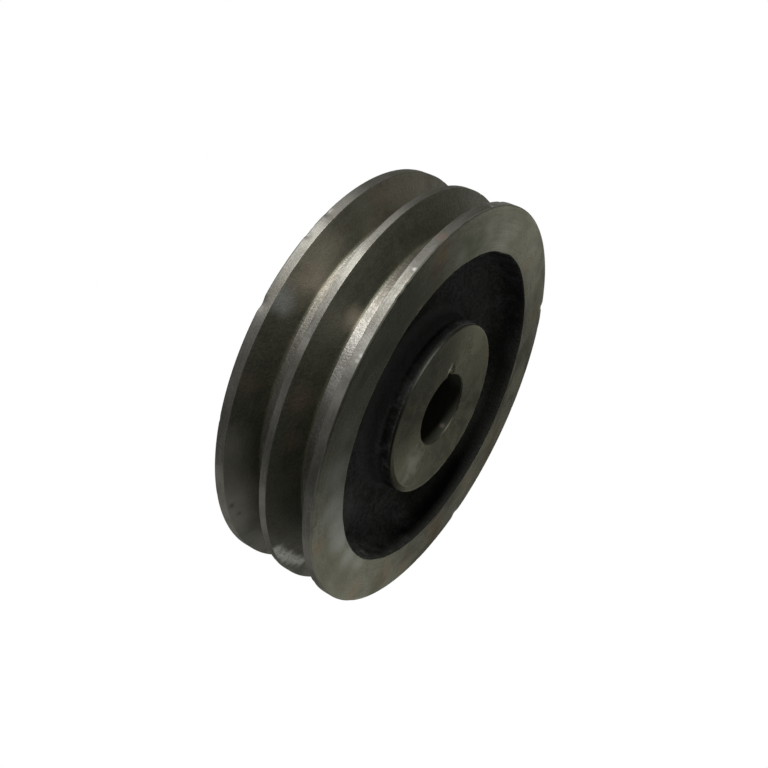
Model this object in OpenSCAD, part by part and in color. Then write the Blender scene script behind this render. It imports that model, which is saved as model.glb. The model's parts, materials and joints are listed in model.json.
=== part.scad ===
// Cast-iron drive pulley for V-belts: a grooved rim, a web dished on both faces and a
// plain-bored hub, cast in one piece and turned all over except in the dishes.
// The axis is Z. The rear face stands at Z = 0 and the front face is at the top.

/* [Rim and grooves] */
// Diameter of the circle on which the belt's datum line runs
datum_diameter = 160; // [140:1:240]
// Depth of the datum line below the outside of the rim
datum_line_depth = 3.5; // [2.5:0.1:5]
// Number of belt grooves side by side
groove_count = 2; // [1:1:4]
// Distance between the centres of neighbouring grooves
groove_pitch = 19; // [18:0.1:25]
// Width of a groove at the datum line
groove_datum_width = 14; // [12:0.1:14.5]
// Angle between the two walls of a groove
groove_angle = 34; // [32:1:38]
// Depth of a groove below the datum line
groove_depth_below_datum = 11; // [9:0.1:12]
// Radius in the two bottom corners of a groove
groove_corner_radius = 1; // [0.3:0.1:1.5]
// Distance from the front face to the centre of the first groove
front_edge_distance = 12; // [11:0.1:18]
// Distance from the centre of the last groove to the rear face
rear_edge_distance = 12.4; // [11:0.1:18]
// Radius on the outer edges of the rim
rim_edge_radius = 0.8; // [0.2:0.1:2]

/* [Web and dishes] */
// Thickness of the rim between the bottom of a groove and the mouth of a dish
rim_thickness = 4; // [3:0.1:12]
// Thickness of the web between the two dishes
web_thickness = 18; // [8:0.5:20]
// Draft of the cast walls, measured from the axis
draft_angle = 4; // [1:0.5:8]
// Radius where the cast walls run into the web
web_fillet_radius = 4; // [1:0.5:5]
// Radius on the mouth of a dish
dish_edge_radius = 1.2; // [0.3:0.1:2]

/* [Hub] */
// Diameter of the hub at its faces
hub_diameter = 72; // [48:1:80]
// Radius on the outer edges of the hub
hub_edge_radius = 1.6; // [0.3:0.1:2.5]
// Diameter of the bore for the shaft
bore_diameter = 30; // [14:1:38]
// Size of the chamfer at each mouth of the bore
bore_chamfer = 0.8; // [0.2:0.1:2]

/* [Hidden] */
// Straight steps in one rounded corner
corner_steps = 6;
// Straight steps round the pulley
$fn = 180;

rim_radius = datum_diameter / 2 + datum_line_depth;
datum_radius = datum_diameter / 2;
groove_bottom_radius = datum_radius - groove_depth_below_datum;
wall_angle = groove_angle / 2;
width = front_edge_distance + (groove_count - 1) * groove_pitch + rear_edge_distance;
dish_radius = groove_bottom_radius - rim_thickness;
dish_depth = (width - web_thickness) / 2;
hub_radius = hub_diameter / 2;
bore_radius = bore_diameter / 2;

// Points along an arc about a centre, between two angles
function arc(centre, radius, from, to) =
    [for (step = [0 : corner_steps])
        let (angle = from + (to - from) * step / corner_steps)
        centre + radius * [cos(angle), sin(angle)]];

function reversed(points) = [for (i = [len(points) - 1 : -1 : 0]) points[i]];

// Half the width of a groove at a given radius
function groove_half_width(radius) =
    groove_datum_width / 2 + (radius - datum_radius) * tan(wall_angle);

// One groove as [radius, height] points, from its lower edge on the rim to its upper edge
function groove(centre) =
    let (corner_r = groove_bottom_radius + groove_corner_radius)
    let (corner_z = groove_half_width(corner_r) - groove_corner_radius / cos(wall_angle))
    let (edge_z = groove_half_width(rim_radius))
    concat(
        [[rim_radius, centre - edge_z]],
        arc([corner_r, centre - corner_z], groove_corner_radius, 270 - wall_angle, 180),
        arc([corner_r, centre + corner_z], groove_corner_radius, 180, 90 + wall_angle),
        [[rim_radius, centre + edge_z]]);

// Radius of the two drafted cast walls at a given depth below a face
function dish_wall(depth) = dish_radius - depth * tan(draft_angle);
function hub_wall(depth) = hub_radius + depth * tan(draft_angle);

// One face as [radius, depth] points, from the edge of the rim in to the bore
function face() =
    let (fillet_depth = dish_depth - web_fillet_radius)
    let (fillet_reach = web_fillet_radius / cos(draft_angle))
    let (dish_edge_r = dish_wall(dish_edge_radius) + dish_edge_radius / cos(draft_angle))
    let (hub_edge_r = hub_wall(hub_edge_radius) - hub_edge_radius / cos(draft_angle))
    concat(
        arc([rim_radius - rim_edge_radius, rim_edge_radius], rim_edge_radius, 0, -90),
        arc([dish_edge_r, dish_edge_radius], dish_edge_radius, -90, draft_angle - 180),
        arc([dish_wall(fillet_depth) - fillet_reach, fillet_depth], web_fillet_radius, draft_angle, 90),
        arc([hub_wall(fillet_depth) + fillet_reach, fillet_depth], web_fillet_radius, 90, 180 - draft_angle),
        arc([hub_edge_r, hub_edge_radius], hub_edge_radius, -draft_angle, -90),
        [[bore_radius + bore_chamfer, 0], [bore_radius, bore_chamfer]]);

// The whole section: rear face, grooves from the rear to the front, front face
function section() =
    concat(
        reversed(face()),
        [for (i = [0 : groove_count - 1])
            each groove(rear_edge_distance + i * groove_pitch)],
        [for (p = face()) [p[0], width - p[1]]]);

module pulley() {
    color("dimgray")
    rotate_extrude()
    polygon(section());
}

pulley();
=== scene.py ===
import json
import math

import bpy
from mathutils import Matrix, Vector


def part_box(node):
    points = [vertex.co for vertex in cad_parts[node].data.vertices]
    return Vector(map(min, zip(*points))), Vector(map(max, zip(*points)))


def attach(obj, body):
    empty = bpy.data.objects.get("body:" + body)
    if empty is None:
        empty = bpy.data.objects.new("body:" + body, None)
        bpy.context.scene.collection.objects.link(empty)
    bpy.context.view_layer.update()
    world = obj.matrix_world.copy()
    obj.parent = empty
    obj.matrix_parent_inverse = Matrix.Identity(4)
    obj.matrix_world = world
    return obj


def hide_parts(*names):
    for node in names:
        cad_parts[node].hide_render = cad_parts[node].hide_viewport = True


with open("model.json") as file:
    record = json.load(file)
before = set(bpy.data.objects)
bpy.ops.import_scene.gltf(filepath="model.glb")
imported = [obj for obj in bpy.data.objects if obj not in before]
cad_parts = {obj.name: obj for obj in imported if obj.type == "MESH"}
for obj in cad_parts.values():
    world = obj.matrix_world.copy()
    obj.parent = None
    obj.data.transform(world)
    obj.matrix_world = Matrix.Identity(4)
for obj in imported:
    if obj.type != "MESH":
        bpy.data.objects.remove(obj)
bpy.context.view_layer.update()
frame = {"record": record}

# The pulley is one iron casting: a rim with two belt grooves, a web and a hub. Its outside, its
# faces and its bore are turned on a lathe, and the dishes keep the skin of the sand mould.
# First comes its turned section, as one closed line of radius and height.
lowest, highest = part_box("pulley")
rim_radius = min(highest.x, highest.y, -lowest.x, -lowest.y)
width = highest.z
bore_mount = next(mount for mount in frame["record"]["mounts"] if mount["name"] == "bore")
bore_radius = bore_mount["dims"]["r_mm"] / 1000
groove_count = 2
groove_pitch = 0.019
rear_edge_distance = 0.0124
datum_line_depth = 0.0035
groove_datum_width = 0.014
groove_depth = datum_line_depth + 0.011
groove_wall_angle = math.radians(17)
groove_corner_radius = 0.001
groove_lip_radius = 0.00012
rim_edge_radius = 0.0005
rim_thickness = 0.004
web_thickness = 0.018
draft = math.radians(4)
web_fillet_radius = 0.004
dish_edge_radius = 0.0005
hub_radius = 0.036
hub_edge_radius = 0.0006
bore_chamfer = 0.0004
finishes = ["rim_land", "groove_wall", "groove_bottom", "turned_face", "cast_skin", "bored_wall"]


def arc(centre, radius, first, last, count):
    """Points of an arc from one angle in degrees to another, both ends included."""
    angles = [math.radians(first + (last - first) * i / count) for i in range(count + 1)]
    return [(centre[0] + radius * math.cos(a), centre[1] + radius * math.sin(a)) for a in angles]


def straight(start, end, count):
    """Points after the start of a straight stretch, closer together towards its ends."""
    shares = [(1 - math.cos(math.pi * i / count)) / 2 for i in range(1, count + 1)]
    return [(start[0] + (end[0] - start[0]) * s, start[1] + (end[1] - start[1]) * s) for s in shares]


class Section:
    """A line of points, with the finish of the stretch that leads to each of them."""

    def __init__(self):
        self.points = []
        self.finish_before = []

    def run(self, points, finish, count=1, arc_finish=None):
        """Go straight to the first of some points, then through the others."""
        first = straight(self.points[-1], points[0], count) if self.points else [points[0]]
        self.points += first + list(points[1:])
        self.finish_before += [finish] * len(first)
        self.finish_before += [arc_finish or finish] * (len(points) - 1)


groove_bottom_radius = rim_radius - groove_depth
dish_radius = groove_bottom_radius - rim_thickness
dish_depth = (width - web_thickness) / 2
draft_degrees = math.degrees(draft)


def dish_wall(depth):
    return dish_radius - depth * math.tan(draft)


def hub_wall(depth):
    return hub_radius + depth * math.tan(draft)


def turned_side():
    """One side of the pulley from the rim edge in to the bore, as radius and depth."""
    side = Section()
    fillet_depth = dish_depth - web_fillet_radius
    slant = web_fillet_radius * (1 / math.cos(draft) - math.tan(draft))
    edge = rim_edge_radius
    side.run(arc((rim_radius - edge, edge), edge, 0, -90, 4), "turned_face")
    lip = dish_edge_radius
    dish_lip = arc((dish_wall(0) + lip, lip), lip, -90, draft_degrees - 180, 5)
    side.run(dish_lip, "turned_face", 10, arc_finish="cast_skin")
    outer_fillet = (dish_wall(dish_depth) - slant, fillet_depth)
    side.run(arc(outer_fillet, web_fillet_radius, draft_degrees, 90, 5), "cast_skin", 7)
    inner_fillet = (hub_wall(dish_depth) + slant, fillet_depth)
    side.run(arc(inner_fillet, web_fillet_radius, 90, 180 - draft_degrees, 5), "cast_skin", 16)
    lip = hub_edge_radius
    hub_lip = arc((hub_wall(0) - lip, lip), lip, -draft_degrees, -90, 5)
    side.run(hub_lip, "cast_skin", 7, arc_finish="turned_face")
    side.run([(bore_radius + bore_chamfer, 0)], "turned_face", 10)
    side.run([(bore_radius, bore_chamfer)], "turned_face")
    return side


section = Section()
side = turned_side()
for place, finish in zip(side.points, side.finish_before):
    section.run([(place[0], width - place[1])], finish)
rear_finishes = side.finish_before[1:] + ["bored_wall"]
bore_steps = 6
for step, (place, finish) in enumerate(zip(reversed(side.points), reversed(rear_finishes))):
    section.run([place], finish, 1 if step else bore_steps)
groove_half_top = groove_datum_width / 2 + datum_line_depth * math.tan(groove_wall_angle)
groove_half_bottom = groove_half_top - groove_depth * math.tan(groove_wall_angle)
wall_degrees = math.degrees(groove_wall_angle)
lip_reach = groove_lip_radius * math.tan(math.pi / 4 - groove_wall_angle / 2)
corner_reach = groove_corner_radius * math.tan(math.pi / 4 - groove_wall_angle / 2)
groove_middles = [rear_edge_distance + groove * groove_pitch for groove in range(groove_count)]
for middle in groove_middles:
    lip_centre = (rim_radius - groove_lip_radius, middle - groove_half_top - lip_reach)
    lip = arc(lip_centre, groove_lip_radius, 0, 90 - wall_degrees, 3)
    section.run(lip, "rim_land", 7)
    corner_centre = (groove_bottom_radius + groove_corner_radius,
                     middle - groove_half_bottom + corner_reach)
    corner = arc(corner_centre, groove_corner_radius, 270 - wall_degrees, 180, 4)
    section.run(corner, "groove_wall", 6)
    mirrored_corner = [(r, 2 * middle - z) for r, z in reversed(corner)]
    section.run(mirrored_corner, "groove_bottom", 4)
    mirrored_lip = [(r, 2 * middle - z) for r, z in reversed(lip)]
    section.run(mirrored_lip, "groove_wall", 6)
section.run(straight(section.points[-1], section.points[0], 7), "rim_land")
section.points.pop()
finish_after = section.finish_before[1:]

# The section line becomes a mesh of loose points, which carries the finish of each stretch and
# the distance to the nearest turned edge. A tree of Geometry Nodes sweeps it round the axis,
# roughens the cast skin and adds the knocks that handling left on the edges.
edge_places = [(r, z) for r in (rim_radius, dish_radius, hub_radius, bore_radius) for z in (0, width)]
edge_places += [(rim_radius, middle + half) for middle in groove_middles
                for half in (-groove_half_top, groove_half_top)]
section_mesh = bpy.data.meshes.new("pulley_section")
section_mesh.from_pydata([(r, 0, z) for r, z in section.points], [], [])
section_mesh.attributes.new("finish", "INT", "POINT")
section_mesh.attributes["finish"].data.foreach_set("value", [finishes.index(f) for f in finish_after])
section_mesh.attributes.new("edge_distance", "FLOAT", "POINT")
section_mesh.attributes["edge_distance"].data.foreach_set(
    "value", [min(math.hypot(r - er, z - ez) for er, ez in edge_places) for r, z in section.points])


def add(tree, kind, inputs=None, **options):
    """Place a node in a tree, set its options, and link or set its inputs by name or number."""
    placed = tree.nodes.new(kind)
    for option, value in options.items():
        setattr(placed, option, value)
    for socket, value in (inputs or {}).items():
        if isinstance(value, bpy.types.NodeSocket):
            tree.links.new(value, placed.inputs[socket])
        else:
            placed.inputs[socket].default_value = value
    return placed


def sum_up(tree, operation, first, second=0.0, third=0.0):
    """The result of one step of arithmetic in a tree."""
    return add(tree, "ShaderNodeMath", {0: first, 1: second, 2: third}, operation=operation).outputs[0]


def whole(tree, operation, first, second):
    """The result of one step of arithmetic on whole numbers."""
    return add(tree, "FunctionNodeIntegerMath", {0: first, 1: second}, operation=operation).outputs[0]


def ramp(tree, value, start, end, low=0.0, high=1.0, shape="SMOOTHSTEP"):
    """A value that goes from low to high while another goes from start to end."""
    return add(tree, "ShaderNodeMapRange", {"Value": value, "From Min": start, "From Max": end,
               "To Min": low, "To Max": high}, interpolation_type=shape).outputs["Result"]


def noise(tree, place, scale, detail, seed):
    """A cloud of values about one half, always the same for one seed."""
    return add(tree, "ShaderNodeTexNoise", {"Vector": place, "Scale": scale, "Detail": detail, "W": seed},
               noise_dimensions="4D").outputs[0]


def sockets(tree, inputs, outputs):
    """Give a node tree its named inputs and outputs, and place its two end nodes."""
    for name, kind in inputs.items():
        tree.interface.new_socket(name=name, in_out="INPUT", socket_type="NodeSocket" + kind)
    for name, kind in outputs.items():
        tree.interface.new_socket(name=name, in_out="OUTPUT", socket_type="NodeSocket" + kind)
    return tree.nodes.new("NodeGroupInput").outputs, tree.nodes.new("NodeGroupOutput").inputs


def on_pulley(degrees, radius, height):
    """A place by its angle round the axis, its distance from the axis and its height."""
    bearing = math.radians(degrees)
    return Vector((radius * math.cos(bearing), radius * math.sin(bearing), height))


def knock():
    """A dent of a given place, size and push, as an offset that fades out from its middle."""
    tree = bpy.data.node_groups.new("knock", "GeometryNodeTree")
    given, result = sockets(tree, {"Place": "Vector", "Size": "Float", "Push": "Vector"},
                            {"Offset": "Vector"})
    position = add(tree, "GeometryNodeInputPosition").outputs[0]
    distance = add(tree, "ShaderNodeVectorMath", {0: position, 1: given["Place"]},
                   operation="DISTANCE").outputs["Value"]
    share = ramp(tree, distance, 0.0, given["Size"], 1.0, 0.0)
    offset = add(tree, "ShaderNodeVectorMath", {0: given["Push"], "Scale": share}, operation="SCALE")
    tree.links.new(offset.outputs["Vector"], result["Offset"])
    return tree


knock_tree = knock()
# Each knock has an angle in degrees, a radius, a height, a size, and the push inwards and upwards.
knocks = [
    (121, bore_radius + bore_chamfer, width, 0.0026, -0.0014, -0.0016),
    (156, rim_radius, 0.0008, 0.0020, 0.0006, 0.0),
    (148, rim_radius, 0.0012, 0.0018, 0.0005, 0.0),
    (176, rim_radius, 0.0, 0.0034, 0.0005, 0.0002),
    (158, rim_radius, width, 0.0016, 0.0002, -0.0004),
    (161.7, rim_radius, width, 0.0016, 0.0002, -0.0004),
    (46.9, rim_radius, width, 0.0026, 0.0006, -0.0003),
    (331, rim_radius, width, 0.0034, 0.0004, -0.0003),
]


def turned_casting(materials):
    """The tree that turns the section round the axis and gives it its skin, knocks and finishes."""
    tree = bpy.data.node_groups.new("turned_casting", "GeometryNodeTree")
    given, result = sockets(
        tree,
        {"Geometry": "Geometry", "Steps Round": "Int", "Skin Relief": "Float", "Skin Grain": "Float",
         "Mouth Waver": "Float", "Edge Chips": "Float", "Seed": "Float"},
        {"Geometry": "Geometry"})
    line = given["Geometry"]
    steps = given["Steps Round"]
    seed = given["Seed"]
    count = add(tree, "GeometryNodeAttributeDomainSize", {"Geometry": line}).outputs["Point Count"]
    columns = whole(tree, "ADD", steps, 1)
    sheet = add(tree, "GeometryNodeMeshGrid",
                {"Vertices X": whole(tree, "ADD", count, 1), "Vertices Y": columns})
    number = add(tree, "GeometryNodeInputIndex").outputs[0]
    point = whole(tree, "MODULO", whole(tree, "DIVIDE_FLOOR", number, columns), count)
    turn = sum_up(tree, "DIVIDE", whole(tree, "MODULO", number, columns), steps)
    position = add(tree, "GeometryNodeInputPosition").outputs[0]

    def named(name, kind):
        return add(tree, "GeometryNodeInputNamedAttribute", {"Name": name}, data_type=kind).outputs[0]

    def from_line(value, index, kind):
        return add(tree, "GeometryNodeSampleIndex", {"Geometry": line, "Value": value, "Index": index},
                   data_type=kind, domain="POINT").outputs[0]

    def keep(shell, name, value, kind, domain):
        return add(tree, "GeometryNodeStoreNamedAttribute",
                   {"Geometry": shell, "Name": name, "Value": value},
                   data_type=kind, domain=domain).outputs[0]

    swept = add(tree, "ShaderNodeVectorRotate",
                {"Vector": from_line(position, point, "FLOAT_VECTOR"),
                 "Angle": sum_up(tree, "MULTIPLY", turn, math.tau)}, rotation_type="Z_AXIS").outputs[0]
    shell = add(tree, "GeometryNodeSetPosition",
                {"Geometry": sheet.outputs["Mesh"], "Position": swept}).outputs[0]
    edge_value = from_line(named("edge_distance", "FLOAT"), point, "FLOAT")
    shell = keep(shell, "edge_distance", edge_value, "FLOAT", "POINT")
    stretch = whole(tree, "DIVIDE_FLOOR", number, steps)
    finish_value = from_line(named("finish", "INT"), stretch, "INT")
    shell = keep(shell, "finish", finish_value, "INT", "FACE")
    seam_gap = 1e-6
    shell = add(tree, "GeometryNodeMergeByDistance", {"Geometry": shell, "Distance": seam_gap}).outputs[0]
    shell = add(tree, "GeometryNodeFlipFaces", {0: shell}).outputs[0]
    finish_here = named("finish", "INT")
    edge_here = named("edge_distance", "FLOAT")

    def has_finish(name):
        return add(tree, "FunctionNodeCompare", {2: finish_here, 3: finishes.index(name)},
                   data_type="INT", operation="EQUAL").outputs[0]

    lump_scale, grain_scale, chip_scale, waver_scale = 130.0, 520.0, 210.0, 75.0
    clean_margin, full_margin = 0.002, 0.005
    skin = sum_up(tree, "MULTIPLY", has_finish("cast_skin"),
                  ramp(tree, edge_here, clean_margin, full_margin))
    lumps = sum_up(tree, "SUBTRACT", noise(tree, position, lump_scale, 3.0, seed), 0.5)
    grains = sum_up(tree, "SUBTRACT", noise(tree, position, grain_scale, 2.0, seed), 0.5)
    relief = sum_up(tree, "MULTIPLY", lumps, given["Skin Relief"])
    relief = sum_up(tree, "MULTIPLY_ADD", grains, given["Skin Grain"], relief)
    relief = sum_up(tree, "MULTIPLY", relief, skin)
    chip_reach = 0.0009
    chip_share = ramp(tree, noise(tree, position, chip_scale, 2.0, seed), 0.58, 0.72)
    chip_share = sum_up(tree, "MULTIPLY", chip_share, ramp(tree, edge_here, 0.0, chip_reach, 1.0, 0.0))
    chips = sum_up(tree, "MULTIPLY", chip_share, given["Edge Chips"])
    height = sum_up(tree, "SUBTRACT", relief, chips)
    normal = add(tree, "GeometryNodeInputNormal").outputs[0]
    offset = add(tree, "ShaderNodeVectorMath", {0: normal, "Scale": height},
                 operation="SCALE").outputs["Vector"]
    flat = add(tree, "ShaderNodeVectorMath", {0: position, 1: (1, 1, 0)}, operation="MULTIPLY").outputs[0]
    radius = add(tree, "ShaderNodeVectorMath", {0: flat}, operation="LENGTH").outputs["Value"]
    outwards = add(tree, "ShaderNodeVectorMath", {0: flat}, operation="NORMALIZE").outputs[0]
    from_mouth = sum_up(tree, "ABSOLUTE", sum_up(tree, "SUBTRACT", radius, dish_radius))
    mouth_reach = 0.003
    at_mouth = ramp(tree, from_mouth, 0.0, mouth_reach, 1.0, 0.0)
    waver = sum_up(tree, "SUBTRACT", noise(tree, position, waver_scale, 3.0, seed), 0.5)
    waver = sum_up(tree, "MULTIPLY", waver, sum_up(tree, "MULTIPLY", at_mouth, given["Mouth Waver"]))
    aside = add(tree, "ShaderNodeVectorMath", {0: outwards, "Scale": waver},
                operation="SCALE").outputs["Vector"]
    offset = add(tree, "ShaderNodeVectorMath", {0: offset, 1: aside}, operation="ADD").outputs["Vector"]
    for degrees, knock_radius, level, size, inwards, upwards in knocks:
        dent = add(tree, "GeometryNodeGroup", node_tree=knock_tree)
        dent.inputs["Place"].default_value = on_pulley(degrees, knock_radius, level)
        dent.inputs["Size"].default_value = size
        dent.inputs["Push"].default_value = on_pulley(degrees, -inwards, upwards)
        offset = add(tree, "ShaderNodeVectorMath", {0: offset, 1: dent.outputs["Offset"]},
                     operation="ADD").outputs["Vector"]
    shell = add(tree, "GeometryNodeSetPosition", {"Geometry": shell, "Offset": offset}).outputs[0]
    shell = add(tree, "GeometryNodeSetShadeSmooth", {"Geometry": shell, "Shade Smooth": True}).outputs[0]
    bend = add(tree, "GeometryNodeInputMeshEdgeAngle").outputs["Unsigned Angle"]
    sharp_bend = math.radians(40)
    sharp = add(tree, "FunctionNodeCompare", {0: bend, 1: sharp_bend},
                operation="GREATER_THAN").outputs[0]
    shell = add(tree, "GeometryNodeSetShadeSmooth",
                {"Geometry": shell, "Selection": sharp, "Shade Smooth": False}, domain="EDGE").outputs[0]
    shell = add(tree, "GeometryNodeRealizeInstances", {"Geometry": shell}).outputs[0]
    for name in finishes:
        shell = add(tree, "GeometryNodeSetMaterial",
                    {"Geometry": shell, "Selection": has_finish(name),
                     "Material": materials[name]}).outputs[0]
    tree.links.new(shell, result["Geometry"])
    return tree


# The finishes are the bare iron as the lathe and the mould left it, gone brown and dull with age.
# Three effects are shared: the lathe's fine rings, blotches of stain, and spots at given places, some of
# them stains and marks, others painted highlights and painted shade.


def lathe_marks():
    """Fine rings of uneven depth, each broken into arcs, over a track across the cut."""
    tree = bpy.data.node_groups.new("lathe_marks", "ShaderNodeTree")
    given, result = sockets(tree, {"Position": "Vector", "Track": "Float", "Feed": "Float",
                                   "Arcs": "Float"}, {"Rings": "Float"})
    flat = add(tree, "ShaderNodeVectorMath", {0: given["Position"], 1: (1, 1, 0)},
               operation="MULTIPLY").outputs[0]
    outwards = add(tree, "ShaderNodeVectorMath", {0: flat}, operation="NORMALIZE").outputs[0]
    around = add(tree, "ShaderNodeVectorMath", {0: outwards, "Scale": given["Arcs"]},
                 operation="SCALE").outputs["Vector"]
    across = sum_up(tree, "DIVIDE", given["Track"], given["Feed"])
    fine_place = add(tree, "ShaderNodeVectorMath",
                     {0: around, 1: add(tree, "ShaderNodeCombineXYZ", {"Z": across}).outputs[0]},
                     operation="ADD").outputs[0]
    wide = sum_up(tree, "MULTIPLY", across, 0.16)
    coarse_place = add(tree, "ShaderNodeVectorMath",
                       {0: around, 1: add(tree, "ShaderNodeCombineXYZ", {"Z": wide}).outputs[0]},
                       operation="ADD").outputs[0]
    rings = sum_up(tree, "MULTIPLY_ADD", noise(tree, coarse_place, 1.0, 2.0, 3.0), 0.8,
                   noise(tree, fine_place, 1.0, 2.0, 8.0))
    tree.links.new(ramp(tree, rings, 0.66, 1.14, shape="LINEAR"), result["Rings"])
    return tree


def blotches():
    """Uneven patches, larger and smaller ones together, from none to full."""
    tree = bpy.data.node_groups.new("blotches", "ShaderNodeTree")
    given, result = sockets(tree, {"Position": "Vector", "Scale": "Float", "Cover": "Float",
                                   "Softness": "Float", "Seed": "Float"}, {"Mask": "Float"})
    cloud = add(tree, "ShaderNodeTexNoise",
                {"Vector": given["Position"], "Scale": given["Scale"], "W": given["Seed"],
                 "Detail": 6.0, "Roughness": 0.62, "Distortion": 0.4}, noise_dimensions="4D").outputs[0]
    middle = sum_up(tree, "SUBTRACT", 1.0, given["Cover"])
    mask = ramp(tree, cloud, sum_up(tree, "SUBTRACT", middle, given["Softness"]),
                sum_up(tree, "ADD", middle, given["Softness"]))
    tree.links.new(mask, result["Mask"])
    return tree


def spot():
    """A patch about one place, with an edge as ragged as asked for."""
    tree = bpy.data.node_groups.new("spot", "ShaderNodeTree")
    given, result = sockets(tree, {"Position": "Vector", "Place": "Vector", "Reach": "Float",
                                   "Ragged": "Float"}, {"Mask": "Float"})
    distance = add(tree, "ShaderNodeVectorMath", {0: given["Position"], 1: given["Place"]},
                   operation="DISTANCE").outputs["Value"]
    share = sum_up(tree, "DIVIDE", distance, given["Reach"])
    share = sum_up(tree, "MULTIPLY_ADD", noise(tree, given["Position"], 190.0, 5.0, 12.0),
                   given["Ragged"], share)
    full = sum_up(tree, "MULTIPLY", given["Ragged"], 0.5)
    tree.links.new(ramp(tree, share, full, sum_up(tree, "ADD", full, 0.9), 1.0, 0.0), result["Mask"])
    return tree


lathe_group = lathe_marks()
blotch_group = blotches()
spot_group = spot()


class Finish:
    """A material of the casting, with the places and shared effects that its nodes read."""

    def __init__(self, name):
        self.material = bpy.data.materials.new(name)
        self.material.use_nodes = True
        self.tree = self.material.node_tree
        self.shader = self.tree.nodes["Principled BSDF"]
        self.place = add(self.tree, "ShaderNodeTexCoord").outputs["Object"]
        self.height = add(self.tree, "ShaderNodeSeparateXYZ", {0: self.place}).outputs["Z"]
        flat = add(self.tree, "ShaderNodeVectorMath", {0: self.place, 1: (1, 1, 0)},
                   operation="MULTIPLY").outputs[0]
        self.radius = add(self.tree, "ShaderNodeVectorMath", {0: flat},
                          operation="LENGTH").outputs["Value"]
        self.outwards = add(self.tree, "ShaderNodeVectorMath", {0: flat},
                            operation="NORMALIZE").outputs[0]

    def along_rings(self, turn_length):
        """The place with its arcs drawn together, so that patches lie along the lathe's rings."""
        around = add(self.tree, "ShaderNodeVectorMath", {0: self.outwards, "Scale": turn_length},
                     operation="SCALE").outputs["Vector"]
        across = add(self.tree, "ShaderNodeCombineXYZ", {"Z": self.radius}).outputs[0]
        return add(self.tree, "ShaderNodeVectorMath", {0: around, 1: across}, operation="ADD").outputs[0]

    def set(self, **values):
        """Set plain values on the shader's own sockets."""
        for name, value in values.items():
            self.shader.inputs[name.replace("_", " ").title().replace("Ior", "IOR")].default_value = value

    def effect(self, group, **values):
        """Place a shared effect with its own values, and give back what it puts out."""
        placed = add(self.tree, "ShaderNodeGroup", node_tree=group)
        self.tree.links.new(self.place, placed.inputs["Position"])
        for name, value in values.items():
            if isinstance(value, bpy.types.NodeSocket):
                self.tree.links.new(value, placed.inputs[name.title()])
            else:
                placed.inputs[name.title()].default_value = value
        return placed.outputs[0]

    def rings(self, track, feed, arcs):
        return self.effect(lathe_group, track=track, feed=feed, arcs=arcs)

    def blotch(self, scale, cover, softness, seed, place=None):
        return self.effect(blotch_group, position=place or self.place, scale=scale, cover=cover,
                           softness=softness, seed=seed)

    def mix(self, share, first, second):
        """A colour between two, by a mask."""
        blend = add(self.tree, "ShaderNodeMix", data_type="RGBA")
        for socket, value in ((0, share), (6, first), (7, second)):
            if isinstance(value, bpy.types.NodeSocket):
                self.tree.links.new(value, blend.inputs[socket])
            else:
                blend.inputs[socket].default_value = value if socket == 0 else (*value, 1)
        return blend.outputs[2]

    def part(self, value, factor):
        return sum_up(self.tree, "MULTIPLY", value, factor)

    def patch(self, degrees, radius, height, reach, ragged=0.9):
        return self.effect(spot_group, place=on_pulley(degrees, radius, height), reach=reach,
                           ragged=ragged)

    def spots(self, colour, tint, places, ragged=0.9):
        """Lay spots of one tint over a colour: angle, radius, height, reach and strength of each."""
        for degrees, radius, height, reach, strength in places:
            mask = self.patch(degrees, radius, height, reach, ragged)
            colour = self.mix(self.part(mask, strength), colour, tint)
        return colour

    def feed(self, socket, value):
        self.tree.links.new(value, self.shader.inputs[socket])

    def bump(self, height, strength, distance):
        relief = add(self.tree, "ShaderNodeBump", {"Height": height, "Strength": strength,
                     "Distance": distance})
        self.feed("Normal", relief.outputs["Normal"])

    def turned(self, anisotropic, edge_tint):
        """Let the gloss of bare metal spread across the lathe's rings."""
        grain = add(self.tree, "ShaderNodeTangent", direction_type="RADIAL", axis="Z")
        self.feed("Tangent", grain.outputs[0])
        self.set(anisotropic=anisotropic, anisotropic_rotation=0.25, specular_tint=edge_tint)


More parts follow.
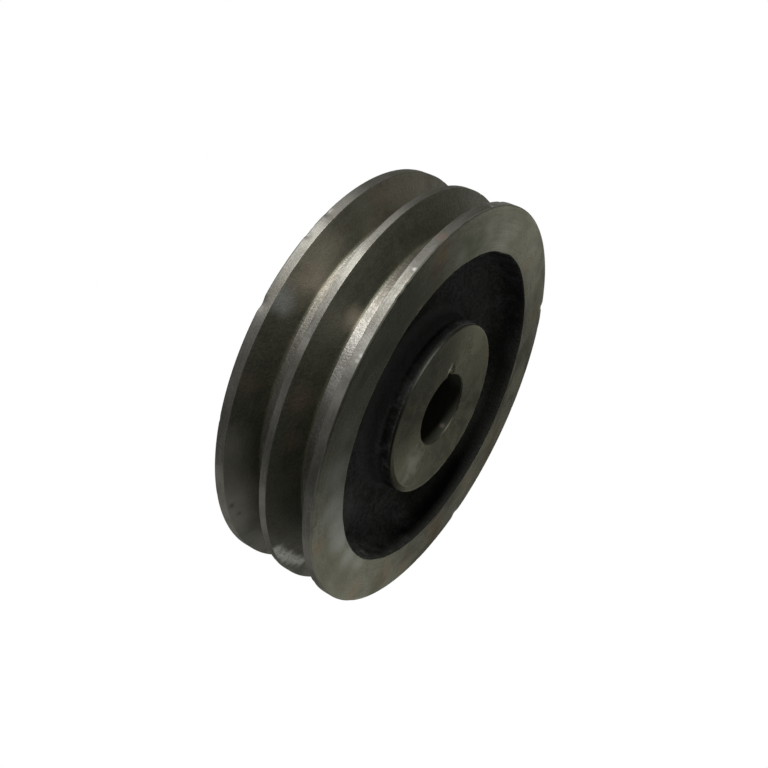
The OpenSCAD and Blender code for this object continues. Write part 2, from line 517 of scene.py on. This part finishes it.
def rim_land_finish():
    """The bright lands between the grooves, finely turned and dulled by handling."""
    land = Finish("rim_land")

    def spots_and_painted_light(colour, tint, places):
        """Lay spots on the lands, marks as well as painted shade and painted highlights: angle, height,
        reach and strength of each.
        """
        return land.spots(colour, tint, [(place[0], rim_radius, *place[1:]) for place in places])

    rings = land.rings(land.height, 0.0004, 8.0)
    grain = land.blotch(1100, 0.5, 0.2, 2.0)
    stain = land.blotch(75, 0.42, 0.12, 1.0)
    colour = land.mix(rings, (0.070, 0.067, 0.058), (0.108, 0.105, 0.095))
    colour = land.mix(land.part(grain, 0.45), colour, (0.058, 0.055, 0.047))
    colour = land.mix(land.part(stain, 0.45), colour, (0.058, 0.050, 0.039))
    rear_land = 0.0022
    middle_land = rear_edge_distance + groove_pitch / 2
    front_land = width - 0.0024
    # Dark spots are painted shade: at the lower left of the lands and in the front land's stripe.
    colour = spots_and_painted_light(colour, (0.034, 0.034, 0.029), [
        (205, rear_land, 0.016, 0.5), (205, middle_land, 0.016, 0.6), (206, front_land, 0.018, 0.75),
        (151, front_land, 0.010, 0.5)])
    # Pale spots are painted highlights, which widen and shift the lamp's stripes and lighten the lands at
    # the lower left.
    colour = spots_and_painted_light(colour, (0.190, 0.185, 0.165), [
        (234, rear_land, 0.022, 0.7), (230, middle_land, 0.018, 0.5), (232, front_land, 0.020, 0.5),
        (155, rear_land, 0.013, 0.4), (158, middle_land, 0.014, 0.35), (177, front_land, 0.013, 0.85),
        (187, front_land, 0.010, 0.6), (180, middle_land, 0.008, 0.4), (113, front_land, 0.012, 0.6),
        (103, front_land, 0.010, 0.8), (222, rear_land, 0.010, 0.6), (244, rear_land, 0.012, 0.6),
        (177, rear_land, 0.009, 0.4), (220, middle_land, 0.010, 0.5), (142, rear_land, 0.016, 0.35),
        (142, middle_land, 0.014, 0.35)])
    colour = spots_and_painted_light(colour, (0.110, 0.080, 0.064), [(141.2, 0.0425, 0.0045, 0.6)])
    # Small bright spots on the front edge are worn metal, painted as glints.
    colour = spots_and_painted_light(colour, (0.34, 0.34, 0.33), [
        (177.2, 0.0425, 0.0014, 0.7), (178.6, 0.0421, 0.0010, 0.6), (153.6, 0.0421, 0.0013, 0.35),
        (118.9, 0.0424, 0.0014, 0.6)])
    land.feed("Base Color", colour)
    land.feed("Roughness", ramp(land.tree, grain, 0.0, 1.0, 0.50, 0.60))
    land.bump(grain, 0.3, 0.00008)
    land.set(metallic=1.0)
    land.turned(0.6, (0.45, 0.45, 0.42, 1))
    return land.material


def groove_bottom_finish():
    """The bottoms of the grooves, cut with a broader tool and browner."""
    bottom = Finish("groove_bottom")

    def stains_and_painted_light(colour, tint, places, ragged):
        """Lay spots on the bottoms, painted shade and painted highlights: angle, height, reach and
        strength of each.
        """
        placed = [(place[0], groove_bottom_radius, *place[1:]) for place in places]
        return bottom.spots(colour, tint, placed, ragged)

    rings = bottom.rings(bottom.height, 0.0005, 8.0)
    grain = bottom.blotch(1000, 0.5, 0.1, 4.0)
    stain = bottom.blotch(80, 0.45, 0.15, 5.0)
    colour = bottom.mix(rings, (0.110, 0.104, 0.090), (0.160, 0.154, 0.137))
    colour = bottom.mix(bottom.part(grain, 0.45), colour, (0.085, 0.078, 0.065))
    colour = bottom.mix(bottom.part(stain, 0.45), colour, (0.074, 0.063, 0.049))
    rear_bottom, front_bottom = groove_middles
    # Dark spots are painted shade and pale spots are painted highlights, which shift the lamp's stripes
    # along the bottoms.
    colour = stains_and_painted_light(colour, (0.038, 0.034, 0.026), [
        (210, rear_bottom, 0.020, 0.5), (170, rear_bottom, 0.009, 0.3),
        (139, front_bottom, 0.014, 0.8), (149, front_bottom, 0.014, 0.85),
        (157, front_bottom, 0.008, 0.5), (212, front_bottom, 0.020, 0.6)], 0.5)
    colour = stains_and_painted_light(colour, (0.27, 0.26, 0.24), [
        (173, front_bottom, 0.014, 0.8), (186, front_bottom, 0.012, 0.8),
        (141, rear_bottom, 0.014, 0.6), (131, rear_bottom, 0.010, 0.8)], 0.5)
    bottom.feed("Base Color", colour)
    bottom.feed("Roughness", ramp(bottom.tree, grain, 0.0, 1.0, 0.52, 0.62))
    bottom.bump(grain, 0.35, 0.00009)
    bottom.set(metallic=1.0)
    bottom.turned(0.6, (0.45, 0.45, 0.42, 1))
    return bottom.material


def groove_wall_finish():
    """The walls of the grooves, where a belt ran: dull, brown, and lighter in a band at the rim."""
    wall = Finish("groove_wall")
    rings = wall.rings(wall.radius, 0.0006, 5.0)
    grain = wall.blotch(800, 0.5, 0.09, 8.0)
    stain = wall.blotch(60, 0.48, 0.14, 9.0)
    rust = wall.blotch(110, 0.34, 0.08, 14.0)
    band = ramp(wall.tree, sum_up(wall.tree, "MULTIPLY_ADD", stain, 0.0015, wall.radius),
                rim_radius - 0.0068, rim_radius - 0.0042)
    colour = wall.mix(rings, (0.0135, 0.0145, 0.0098), (0.0235, 0.0244, 0.0170))
    colour = wall.mix(wall.part(band, 0.35), colour, (0.032, 0.033, 0.027))
    colour = wall.mix(wall.part(stain, 0.5), colour, (0.028, 0.0245, 0.0155))
    colour = wall.mix(wall.part(rust, 0.35), colour, (0.038, 0.024, 0.015))
    colour = wall.mix(wall.part(grain, 0.45), colour, (0.0095, 0.0105, 0.007))
    rear_wall = 0.0067
    front_wall = rear_wall + groove_pitch
    # Lighter brown spots where the walls face the lamp are painted sheen.
    colour = wall.spots(colour, (0.078, 0.072, 0.053), [
        (112, 0.0780, rear_wall, 0.020, 0.6), (124, 0.0780, rear_wall, 0.016, 0.5),
        (137, 0.0780, rear_wall, 0.020, 0.4), (100, 0.0805, rear_wall, 0.012, 0.5),
        (158, 0.0775, rear_wall, 0.022, 0.85), (168, 0.0775, rear_wall, 0.014, 0.6),
        (172, 0.0780, front_wall, 0.014, 0.4)], 0.3)
    colour = wall.spots(colour, (0.125, 0.120, 0.098), [
        (212, 0.0820, rear_wall, 0.014, 0.35), (221, 0.0815, rear_wall, 0.014, 0.35),
        (231, 0.0815, rear_wall, 0.018, 0.8), (239, 0.0820, 0.0050, 0.014, 0.85)], 0.25)
    colour = wall.spots(colour, (0.070, 0.046, 0.034), [
        (163.8, 0.0759, rear_wall, 0.008, 0.4), (130.7, 0.0788, rear_wall, 0.009, 0.3),
        (195.6, 0.0800, rear_wall, 0.009, 0.25), (192.7, 0.0778, front_wall, 0.008, 0.3),
        (204.7, 0.0759, front_wall, 0.008, 0.25)])
    # Light brown spots low on the walls, where they face the lamp, are painted sheen.
    colour = wall.spots(colour, (0.130, 0.108, 0.082), [
        (162.8, 0.0730, rear_wall, 0.009, 0.6), (168, 0.0705, front_wall, 0.008, 0.7)], 0.5)
    colour = wall.spots(colour, (0.105, 0.107, 0.104), [(173.0, 0.0810, rear_wall, 0.009, 0.8)], 0.5)
    colour = wall.spots(colour, (0.010, 0.009, 0.007), [
        (232.3, 0.0816, 0.0049, 0.0021, 0.7), (237.1, 0.0799, 0.0054, 0.0019, 0.6)], 0.5)
    colour = wall.spots(colour, (0.012, 0.012, 0.010), [
        (264, 0.0810, front_wall, 0.010, 0.85), (263, 0.0815, rear_wall, 0.010, 0.6)], 0.5)
    salt = ramp(wall.tree, wall.blotch(1200, 0.56, 0.09, 17.0), 0.0, 1.0, 0.25, 1.0)
    scuff_height, scuff_reach = 0.0242, 0.0046
    scuff = 0.0
    for degrees, radius in ((242, 0.0824), (245, 0.0816), (248, 0.0806), (251, 0.0796), (254, 0.0785),
                            (257, 0.0774)):
        patch = wall.patch(degrees, radius, scuff_height, scuff_reach)
        scuff = sum_up(wall.tree, "ADD", patch, scuff)
    scuff = sum_up(wall.tree, "MULTIPLY", sum_up(wall.tree, "MINIMUM", scuff, 1.0), salt)
    colour = wall.mix(scuff, colour, (0.40, 0.40, 0.365))
    wall.feed("Base Color", colour)
    wall.feed("Roughness", ramp(wall.tree, stain, 0.0, 1.0, 0.50, 0.62))
    wall.bump(grain, 0.3, 0.00012)
    wall.set(metallic=0.4)
    wall.turned(0.6, (0.78, 0.75, 0.60, 1))
    return wall.material


def turned_face_finish():
    """The rim and hub faces: greenish grey, with brown and olive stains, a browner hub, painted shade on
    their left and painted highlights along their edges.
    """
    face = Finish("turned_face")

    def stains_and_painted_light(colour, tint, places, ragged=0.9):
        """Lay spots on the front face, stains as well as painted shade and painted highlights: angle,
        radius, reach and strength of each.
        """
        placed = [(*place[:2], width, *place[2:]) for place in places]
        return face.spots(colour, tint, placed, ragged)

    rings = face.rings(face.radius, 0.00055, 3.0)
    grain = face.blotch(900, 0.5, 0.1, 20.0)
    along = face.along_rings(0.035)
    stain = face.blotch(140, 0.48, 0.10, 21.0, along)
    pale = face.blotch(110, 0.42, 0.10, 24.0, along)
    speck = face.blotch(330, 0.40, 0.06, 27.0, along)
    hub = ramp(face.tree, face.radius, hub_radius + 0.002, hub_radius)
    rim_tone = face.mix(rings, (0.077, 0.079, 0.064), (0.115, 0.117, 0.099))
    hub_tone = face.mix(rings, (0.046, 0.046, 0.025), (0.066, 0.066, 0.038))
    colour = face.mix(hub, rim_tone, hub_tone)
    pale_here = sum_up(face.tree, "MULTIPLY", pale, ramp(face.tree, hub, 0.0, 1.0, 0.3, 0.1))
    colour = face.mix(pale_here, colour, (0.138, 0.144, 0.130))
    colour = face.mix(face.part(stain, 0.45), colour, (0.058, 0.053, 0.038))
    colour = face.mix(face.part(speck, 0.75), colour, (0.042, 0.039, 0.028))
    colour = face.mix(face.part(grain, 0.5), colour, (0.038, 0.037, 0.028))
    colour = stains_and_painted_light(colour, (0.110, 0.058, 0.024), [
        (318, 0.074, 0.013, 0.9), (300, 0.077, 0.010, 0.6), (287, 0.075, 0.012, 0.8),
        (269, 0.079, 0.009, 0.5), (231, 0.0805, 0.008, 0.4), (144, 0.078, 0.009, 0.7),
        (77, 0.0696, 0.006, 0.5), (46, 0.076, 0.010, 0.5), (57, 0.0335, 0.006, 0.5)])
    colour = stains_and_painted_light(colour, (0.030, 0.040, 0.024), [
        (129.6, 0.0727, 0.008, 0.85), (123, 0.071, 0.007, 0.7), (93, 0.0745, 0.009, 0.6),
        (118, 0.0690, 0.006, 0.5), (197, 0.077, 0.006, 0.4), (210, 0.0797, 0.006, 0.6)])
    colour = stains_and_painted_light(colour, (0.158, 0.166, 0.158), [
        (235, 0.069, 0.010, 0.8), (221, 0.0705, 0.013, 0.8), (208, 0.072, 0.013, 0.8),
        (196, 0.073, 0.010, 0.5), (258, 0.068, 0.007, 0.5), (80, 0.0776, 0.007, 0.4)], 0.35)
    # A painted highlight along the lower left of the dish mouth.
    colour = stains_and_painted_light(colour, (0.21, 0.22, 0.212), [
        (229, 0.0685, 0.010, 0.5), (240, 0.0675, 0.010, 0.75), (251, 0.0672, 0.010, 0.8),
        (262, 0.0668, 0.008, 0.6)], 0.3)
    colour = stains_and_painted_light(colour, (0.170, 0.142, 0.094), [
        (0, 0.074, 0.018, 0.7), (20, 0.074, 0.014, 0.6), (340, 0.074, 0.016, 0.6),
        (350, 0.078, 0.010, 0.6), (60, 0.074, 0.010, 0.4)], 0.5)
    colour = stains_and_painted_light(colour, (0.158, 0.166, 0.140), [
        (133, 0.069, 0.007, 0.6), (117, 0.074, 0.009, 0.4)], 0.5)
    # Olive-brown stains at the lower left of the rim, darkened further as painted shade.
    colour = stains_and_painted_light(colour, (0.036, 0.032, 0.020), [
        (244, 0.0800, 0.014, 0.8), (258, 0.0790, 0.014, 0.7), (283, 0.0790, 0.014, 0.75)], 0.6)
    colour = stains_and_painted_light(colour, (0.115, 0.115, 0.092), [
        (258, 0.025, 0.011, 0.7), (303, 0.026, 0.010, 0.4)])
    # Painted shade on the left of the rim face and of the hub.
    colour = stains_and_painted_light(colour, (0.0080, 0.0098, 0.0070), [
        (160, 0.074, 0.028, 0.65), (172, 0.066, 0.020, 0.5), (138, 0.027, 0.020, 0.95),
        (168, 0.027, 0.020, 0.9), (205, 0.028, 0.013, 0.7)], 0.4)
    # Lighter rings at the top of the rim face and at the bottom of the hub: fresh-cut metal, brightened
    # as painted sheen.
    fresh_cut_and_painted_sheen = sum_up(face.tree, "MAXIMUM", face.patch(108, 0.0715, width, 0.022),
                       face.patch(264, 0.0230, width, 0.013))
    colour = face.mix(face.part(sum_up(face.tree, "MULTIPLY", fresh_cut_and_painted_sheen, rings), 0.75), colour,
                      (0.178, 0.172, 0.164))
    # A brown scratch on the hub, with a painted glint beside it.
    colour = stains_and_painted_light(colour, (0.028, 0.019, 0.012), [(250.5, 0.0172, 0.0022, 0.9)])
    colour = stains_and_painted_light(colour, (0.16, 0.16, 0.14), [(245.5, 0.0184, 0.0018, 0.7)])
    rim_edge = ramp(face.tree, face.radius, rim_radius - rim_edge_radius - 0.0001, rim_radius - 0.0003)
    hub_edge_start = hub_radius - hub_edge_radius
    hub_edge = sum_up(face.tree, "MULTIPLY", hub, ramp(face.tree, face.radius, hub_edge_start,
                                                       hub_edge_start + 0.0004))
    # A painted highlight line along the upper left of the hub's edge.
    from_start = sum_up(face.tree, "ABSOLUTE", sum_up(face.tree, "SUBTRACT", face.radius, hub_edge_start))
    painted_hub_highlight = sum_up(face.tree, "MULTIPLY", ramp(face.tree, from_start, 0.0002, 0.0007, 1.0, 0.0),
                      face.patch(160, hub_radius, width, 0.052))
    bore_mouth = bore_radius + bore_chamfer
    bore_edge = ramp(face.tree, face.radius, bore_mouth + 0.0003, bore_mouth)
    shade_start, shade_full = 0.0331, 0.0340
    hub_shade = sum_up(face.tree, "MULTIPLY", face.patch(252, hub_radius, width, 0.030, 0.3),
                       ramp(face.tree, face.radius, shade_start, shade_full))
    hub_shade = sum_up(face.tree, "MULTIPLY", hub_shade, hub)
    edges = sum_up(face.tree, "MAXIMUM", sum_up(face.tree, "MAXIMUM", rim_edge, hub_edge),
                   sum_up(face.tree, "MAXIMUM", bore_edge, painted_hub_highlight))
    edges = sum_up(face.tree, "MAXIMUM", edges, hub_shade)
    # The rounded edges are painted dark, which keeps the lamp's glint off them. The rim edge is painted
    # lighter at the lower left as a painted reflection, and at the top as a painted highlight.
    spots_and_painted_light = face.patch(232, rim_radius, width, 0.09)
    painted_edge_highlight = face.patch(112, rim_radius, width, 0.09)
    spots_and_painted_light = sum_up(face.tree, "MAXIMUM", spots_and_painted_light, face.part(painted_edge_highlight, 0.6))
    edge_tone = face.mix(spots_and_painted_light, (0.040, 0.040, 0.033), (0.22, 0.215, 0.185))
    hub_edge_tone = face.mix(hub_shade, (0.017, 0.017, 0.014), (0.004, 0.004, 0.003))
    edge_tone = face.mix(hub, edge_tone, hub_edge_tone)
    edge_tone = face.mix(painted_hub_highlight, edge_tone, (0.065, 0.065, 0.059))
    edge_tone = face.mix(bore_edge, edge_tone, (0.060, 0.058, 0.045))
    colour = face.mix(edges, colour, edge_tone)
    face.feed("Base Color", colour)
    gloss = ramp(face.tree, stain, 0.0, 1.0, 0.27, 0.36)
    face.feed("Roughness", ramp(face.tree, edges, 0.0, 1.0, gloss, 0.8, "LINEAR"))
    face.bump(rings, 0.2, 0.00005)
    face.set(metallic=1.0)
    face.turned(0.82, (1, 0.995, 0.86, 1))
    return face.material


def cast_skin_finish():
    """The dishes' skin from the sand mould: black, matt and grainy."""
    skin = Finish("cast_skin")
    grain = skin.blotch(700, 0.5, 0.16, 33.0)
    cloud = skin.blotch(60, 0.48, 0.15, 36.0)
    speck = skin.blotch(1100, 0.36, 0.05, 39.0)
    colour = skin.mix(grain, (0.0075, 0.0082, 0.0062), (0.017, 0.0178, 0.0145))
    colour = skin.mix(skin.part(cloud, 0.5), colour, (0.019, 0.020, 0.0155))
    colour = skin.mix(skin.part(speck, 0.4), colour, (0.034, 0.034, 0.030))
    web_top = width - dish_depth
    # The dish walls are painted darker than the web, a little less so at the mouth and near the hub:
    # painted shade.
    wall = ramp(skin.tree, skin.height, web_top + 0.002, web_top + 0.007, 0.0, 0.9)
    near_mouth = ramp(skin.tree, skin.height, width - 0.003, width, 1.0, 0.75)
    wall = sum_up(skin.tree, "MULTIPLY", wall, near_mouth)
    near_hub = ramp(skin.tree, skin.radius, 0.042, 0.055, 0.6, 1.0)
    wall = sum_up(skin.tree, "MULTIPLY", wall, near_hub)
    colour = skin.mix(wall, colour, (0.0022, 0.0024, 0.0020))
    # The hub's side is painted lighter at its foot, which lies in the rim's shadow, and darker in a band
    # near its top, which the lamp reaches: painted light and painted shade.
    hub_side = ramp(skin.tree, skin.radius, hub_radius + 0.002, hub_radius + 0.005, 1.0, 0.0)
    foot_top = ramp(skin.tree, skin.height, 0.0372, 0.0394, 1.0, 0.0)
    hub_foot = sum_up(skin.tree, "MULTIPLY", hub_side, foot_top)
    colour = skin.mix(hub_foot, colour, (0.0290, 0.0298, 0.0280))
    crown_base = ramp(skin.tree, skin.height, 0.0378, 0.0396)
    crown_top = ramp(skin.tree, skin.height, 0.0413, 0.0428, 1.0, 0.0)
    hub_crown = sum_up(skin.tree, "MULTIPLY", hub_side, crown_base)
    hub_crown = sum_up(skin.tree, "MULTIPLY", hub_crown, crown_top)
    colour = skin.mix(hub_crown, colour, (0.0026, 0.0027, 0.0024))
    colour = skin.spots(colour, (0.0105, 0.0108, 0.0100), [
        (38, dish_radius, width - 0.004, 0.016, 0.8), (54, dish_radius, width - 0.003, 0.014, 0.8),
        (68, dish_radius, width - 0.002, 0.014, 0.8), (88, dish_radius, width - 0.001, 0.014, 0.7)], 0.4)
    grit = ramp(skin.tree, grain, 0.0, 1.0, 0.3, 1.0)
    # Dust on the web, which also makes the web lighter than the walls: dust and painted light.
    dust_and_painted_light = 0.0
    for degrees, radius, reach in ((250, 0.053, 0.036), (215, 0.055, 0.030), (180, 0.055, 0.030),
                                   (105, 0.052, 0.034), (78, 0.053, 0.032), (52, 0.052, 0.024),
                                   (275, 0.054, 0.022), (294, 0.053, 0.022), (247, 0.043, 0.012),
                                   (222, 0.043, 0.018), (236, 0.042, 0.018), (308, 0.062, 0.012)):
        patch = skin.patch(degrees, radius, web_top, reach)
        dust_and_painted_light = sum_up(skin.tree, "ADD", patch, dust_and_painted_light)
    dust_and_painted_light = sum_up(skin.tree, "MULTIPLY", sum_up(skin.tree, "MINIMUM", dust_and_painted_light, 1.0), grit)
    colour = skin.mix(skin.part(dust_and_painted_light, 0.8), colour, (0.043, 0.044, 0.043))
    bright = sum_up(skin.tree, "MULTIPLY", dust_and_painted_light, speck)
    colour = skin.mix(skin.part(bright, 0.7), colour, (0.075, 0.076, 0.072))
    # A lighter patch on the web at the lower left: dust and painted light.
    colour = skin.spots(colour, (0.080, 0.082, 0.078), [(256, 0.054, web_top, 0.018, 0.45)])
    skin.feed("Base Color", colour)
    skin.feed("Roughness", ramp(skin.tree, cloud, 0.0, 1.0, 0.65, 0.8))
    skin.bump(grain, 0.7, 0.0003)
    skin.set(metallic=0.0, specular_ior_level=0.03)
    return skin.material


def bored_wall_finish():
    """The bore, dark from the shaft that sat in it."""
    wall = Finish("bored_wall")
    rings = wall.rings(wall.height, 0.0004, 2.0)
    stain = wall.blotch(90, 0.5, 0.12, 41.0)
    colour = wall.mix(rings, (0.008, 0.0087, 0.006), (0.013, 0.0133, 0.009))
    colour = wall.mix(wall.part(stain, 0.6), colour, (0.009, 0.0093, 0.006))
    # A lighter patch at the top of the bore: painted light in its shade.
    colour = wall.spots(colour, (0.034, 0.035, 0.026), [
        (70, bore_radius, width - 0.003, 0.010, 0.8)], 0.4)
    # A painted glint on the bore's wall just below the mouth.
    colour = wall.spots(colour, (0.070, 0.056, 0.048), [
        (337.6, bore_radius, width - 0.0024, 0.0020, 0.6)])
    wall.feed("Base Color", colour)
    wall.feed("Roughness", ramp(wall.tree, stain, 0.0, 1.0, 0.5, 0.6))
    wall.set(metallic=0.0, specular_ior_level=0.04)
    return wall.material


materials = {
    "rim_land": rim_land_finish(),
    "groove_wall": groove_wall_finish(),
    "groove_bottom": groove_bottom_finish(),
    "turned_face": turned_face_finish(),
    "cast_skin": cast_skin_finish(),
    "bored_wall": bored_wall_finish(),
}

sweep_tree = turned_casting(materials)
section_object = bpy.data.objects.new("pulley_section", section_mesh)
bpy.context.scene.collection.objects.link(section_object)
modifier = section_object.modifiers.new("turned_casting", "NODES")
modifier.node_group = sweep_tree
sweep_sizes = {"Steps Round": 420, "Skin Relief": 0.0006, "Skin Grain": 0.0003, "Mouth Waver": 0.0016,
               "Edge Chips": 0.0002, "Seed": 7.0}
for item in sweep_tree.interface.items_tree:
    if item.in_out == "INPUT" and item.name in sweep_sizes:
        modifier[item.identifier] = sweep_sizes[item.name]
evaluated = section_object.evaluated_get(bpy.context.evaluated_depsgraph_get())
pulley_mesh = bpy.data.meshes.new_from_object(evaluated)
finish_numbers = [0] * len(pulley_mesh.polygons)
pulley_mesh.attributes["finish"].data.foreach_get("value", finish_numbers)
pulley_mesh.materials.pop(index=0)    # the grid that the sweep starts from brings an empty place
pulley_mesh.polygons.foreach_set("material_index", finish_numbers)
section_object.modifiers.remove(modifier)
bpy.data.objects.remove(section_object)
pulley = bpy.data.objects.new("pulley_turned", pulley_mesh)
bpy.context.scene.collection.objects.link(pulley)
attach(pulley, "root")
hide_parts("pulley")

# The studio is a plain pale floor that runs out of sight into a pale surround, as on a
# photographer's white table. Both show as white to the camera and in the metal.
floor_size = 6.0
floor_mesh = bpy.data.meshes.new("floor")
floor_mesh.from_pydata([(x * floor_size, y * floor_size, 0)
                        for x, y in ((-1, -1), (1, -1), (1, 1), (-1, 1))], [], [(0, 1, 2, 3)])
floor = bpy.data.objects.new("floor", floor_mesh)
bpy.context.scene.collection.objects.link(floor)
floor_finish = bpy.data.materials.new("pale_floor")
floor_finish.use_nodes = True
tree = floor_finish.node_tree
tree.nodes.clear()
path = add(tree, "ShaderNodeLightPath").outputs
mirrored = sum_up(tree, "MAXIMUM", path["Is Glossy Ray"], path["Is Transmission Ray"])
seen = sum_up(tree, "MAXIMUM", path["Is Camera Ray"], mirrored)
matte = add(tree, "ShaderNodeBsdfDiffuse", {"Color": (0.8, 0.8, 0.8, 1)}).outputs[0]
white = add(tree, "ShaderNodeEmission", {"Color": (1, 1, 1, 1), "Strength": 1.0}).outputs[0]
surface = add(tree, "ShaderNodeMixShader", {0: seen, 1: matte, 2: white}).outputs[0]
add(tree, "ShaderNodeOutputMaterial", {"Surface": surface})
floor_mesh.materials.append(floor_finish)

# The surround is white to the camera. In the metal it is two white screens behind the pulley, on
# the left and on the right, in a dim room, and it fills the shadows weakly.
world = bpy.data.worlds.new("surround")
world.use_nodes = True
bpy.context.scene.world = world
tree = world.node_tree
tree.nodes.clear()
direction = add(tree, "ShaderNodeTexCoord").outputs["Generated"]
axes = add(tree, "ShaderNodeSeparateXYZ", {0: direction}).outputs
slope = 0.35
low = ramp(tree, sum_up(tree, "MULTIPLY_ADD", axes["Y"], slope, axes["Z"]), 0.42, 0.70, 1.0, 0.0)
behind = ramp(tree, axes["X"], -0.25, 0.25)
aside = ramp(tree, sum_up(tree, "ABSOLUTE", axes["Y"]), 0.08, 0.25)
horizon = ramp(tree, axes["Z"], 0.14, 0.36, 0.80, 0.0)
screens = sum_up(tree, "MULTIPLY", sum_up(tree, "MULTIPLY", low, behind),
                 sum_up(tree, "MAXIMUM", aside, horizon))
room_level = 0.11
fill_level = 0.45
in_metal = ramp(tree, screens, 0.0, 1.0, room_level, 1.0, "LINEAR")
path = add(tree, "ShaderNodeLightPath").outputs
mirrored = sum_up(tree, "MAXIMUM", path["Is Glossy Ray"], path["Is Transmission Ray"])
strength = ramp(tree, mirrored, 0.0, 1.0, fill_level, in_metal, "LINEAR")
strength = ramp(tree, path["Is Camera Ray"], 0.0, 1.0, strength, 1.0, "LINEAR")
background = add(tree, "ShaderNodeBackground", {"Color": (1, 1, 1, 1), "Strength": strength})
add(tree, "ShaderNodeOutputWorld", {"Surface": background.outputs[0]})
bpy.context.scene.view_settings.view_transform = "Standard"


# A wide, low soft box stands to the front and left of the pulley. It is the only lamp, and it
# draws the bright stripes on the lands.
def soft_box(name, azimuth, elevation, distance, size, power):
    """An area lamp that faces the middle of the pulley from a bearing and a height in degrees."""
    lamp = bpy.data.lights.new(name, "AREA")
    lamp.shape = "RECTANGLE"
    lamp.size = size[0]
    lamp.size_y = size[1]
    lamp.energy = power
    way = on_pulley(azimuth, math.cos(math.radians(elevation)), math.sin(math.radians(elevation)))
    holder = bpy.data.objects.new(name, lamp)
    holder.location = Vector((0, 0, width / 2)) + way * distance
    holder.rotation_euler = way.to_track_quat("Z", "Y").to_euler()
    bpy.context.scene.collection.objects.link(holder)


soft_box("key_box", 141, 5, 1.0, (0.52, 0.16), 30)

# The camera looks along the photograph's line of sight. The pulley lies on its rear face, so the
# camera leans over to show it upright on its rim, as the photograph does.
view_tilt = math.radians(65.50)
image_lean = math.radians(25.63)
front_centre = Vector((0, 0, width))
camera_place = front_centre + Vector((-0.36500, -0.00081, 0.13893))
forward = Vector((math.sin(view_tilt), 0, -math.cos(view_tilt)))
level_side = Vector((0, 1, 0))
tilted_side = forward.cross(level_side)
right = level_side * math.sin(image_lean) + tilted_side * math.cos(image_lean)
up = right.cross(forward)
camera_data = bpy.data.cameras.new("camera")
camera_data.sensor_width = 36
camera_data.lens = 46.45
camera = bpy.data.objects.new("camera", camera_data)
turn = Matrix((right, up, -forward)).transposed().to_4x4()
camera.matrix_world = Matrix.Translation(camera_place) @ turn
bpy.context.scene.collection.objects.link(camera)
bpy.context.scene.camera = camera
